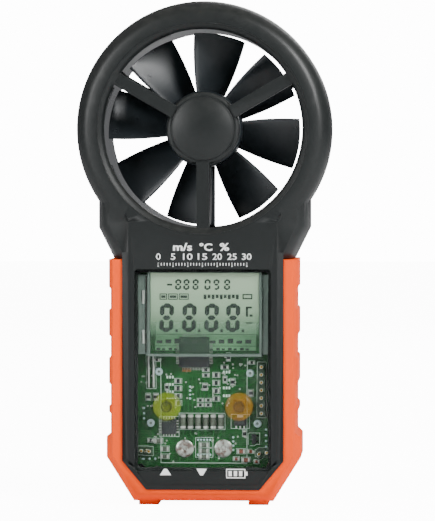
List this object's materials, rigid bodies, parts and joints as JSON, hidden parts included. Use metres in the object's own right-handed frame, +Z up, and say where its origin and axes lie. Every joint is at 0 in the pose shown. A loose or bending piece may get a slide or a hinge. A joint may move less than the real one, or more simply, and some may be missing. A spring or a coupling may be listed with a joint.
{
  "type": "handheld weather meter",
  "caption": "Hand-held weather meter: a vane wheel in a round duct above a slim soft-edged body with a clear window, display, push keys and a battery door.",
  "frame": {"origin": "on the ground under the middle of the meter as it stands on its two foot pads, at the middle of its width and depth", "axes": "+Z up along the body's length, front with window and keys faces -Y, +X to the right as seen from the front"},
  "size_m": [0.0834, 0.038, 0.165],
  "materials": {
    "casing": "fine moulded texture, dark grey ABS",
    "soft_grip": "orange soft-touch over-moulded rubber",
    "clear_window": "clear polished acrylic",
    "display_glass": "pale green display glass",
    "display_frame": "grey plastic",
    "contact_rubber": "pink elastomer",
    "board_green": "green solder mask on glass fibre",
    "chip_black": "black moulded epoxy",
    "tinned_metal": "bright tinned metal",
    "gold_pins": "gold-plated brass",
    "capacitor_body": "tan ceramic",
    "white_nylon": "natural white nylon",
    "key_green": "translucent yellow-green silicone",
    "key_amber": "translucent amber silicone",
    "battery_jacket": "printed film jacket",
    "black_foam": "closed-cell foam",
    "duct_black": "glossy black moulded sleeve",
    "vane_black": "glossy black moulded vane wheel",
    "bearing_brass": "machined",
    "screw_steel": "turned steel",
    "magnet_grey": "bonded ferrite",
    "cable_red": "red PVC lead",
    "cable_blue": "blue PVC lead"
  },
  "bodies": {
    "case": {"front_shell": "casing", "rear_shell": "casing", "front_grip": "soft_grip", "rear_grip": "soft_grip", "case_screws": "screw_steel", "window_lens": "clear_window", "window_tape": "black_foam", "lcd_frame": "display_frame", "lcd_polariser": "display_glass", "lcd_front_glass": "display_glass", "lcd_rear_glass": "display_glass", "lcd_reflector": "display_glass", "contact_strip": "contact_rubber", "main_board": "board_green", "microcontroller": "chip_black", "microcontroller_leads": "tinned_metal", "memory_chip": "chip_black", "regulator": "chip_black", "transistor": "chip_black", "smd_resistors": "chip_black", "smd_capacitors": "capacitor_body", "diode_row": "capacitor_body", "pin_header": "chip_black", "header_pins": "gold_pins", "link_headers": "chip_black", "link_pins": "gold_pins", "wire_links": "tinned_metal", "board_rivets": "white_nylon", "board_screws": "screw_steel", "tactile_switches": "chip_black", "contact_rivets": "tinned_metal", "battery_contacts": "gold_pins", "battery": "battery_jacket", "battery_snaps": "tinned_metal", "duct_sleeve": "duct_black", "front_guard": "casing", "hub_cap": "casing", "rear_guard": "casing", "front_bearing": "bearing_brass", "rear_bearing": "bearing_brass", "hall_sensor": "chip_black", "sensor_cable": "cable_red", "humidity_sensor": "white_nylon", "humidity_cable": "cable_blue"},
    "vane": {"impeller": "vane_black", "impeller_shaft": "screw_steel", "sensor_magnet": "magnet_grey"},
    "left_key": {"left_button": "key_green", "left_plunger": "chip_black"},
    "right_key": {"right_button": "key_amber", "right_plunger": "chip_black"},
    "door": {"battery_door": "casing", "door_pad": "black_foam"}
  },
  "joints": [
    {"name": "vane_spin", "type": "hinge", "parent": "case", "child": "vane", "pos_m": [0, 0, 0.12325], "axis": [0, 1, 0], "continuous": true},
    {"name": "left_key_press", "type": "slide", "parent": "case", "child": "left_key", "axis": [0, 1, 0], "range_m": [0, 0.0006], "stiffness_N_per_m": 1500},
    {"name": "right_key_press", "type": "slide", "parent": "case", "child": "right_key", "axis": [0, 1, 0], "range_m": [0, 0.0006], "stiffness_N_per_m": 1500},
    {"name": "battery_door_hinge", "type": "hinge", "parent": "case", "child": "door", "pos_m": [0, 0.0175, 0.0156], "axis": [-1, 0, 0], "range_deg": [0, 75]}
  ]
}
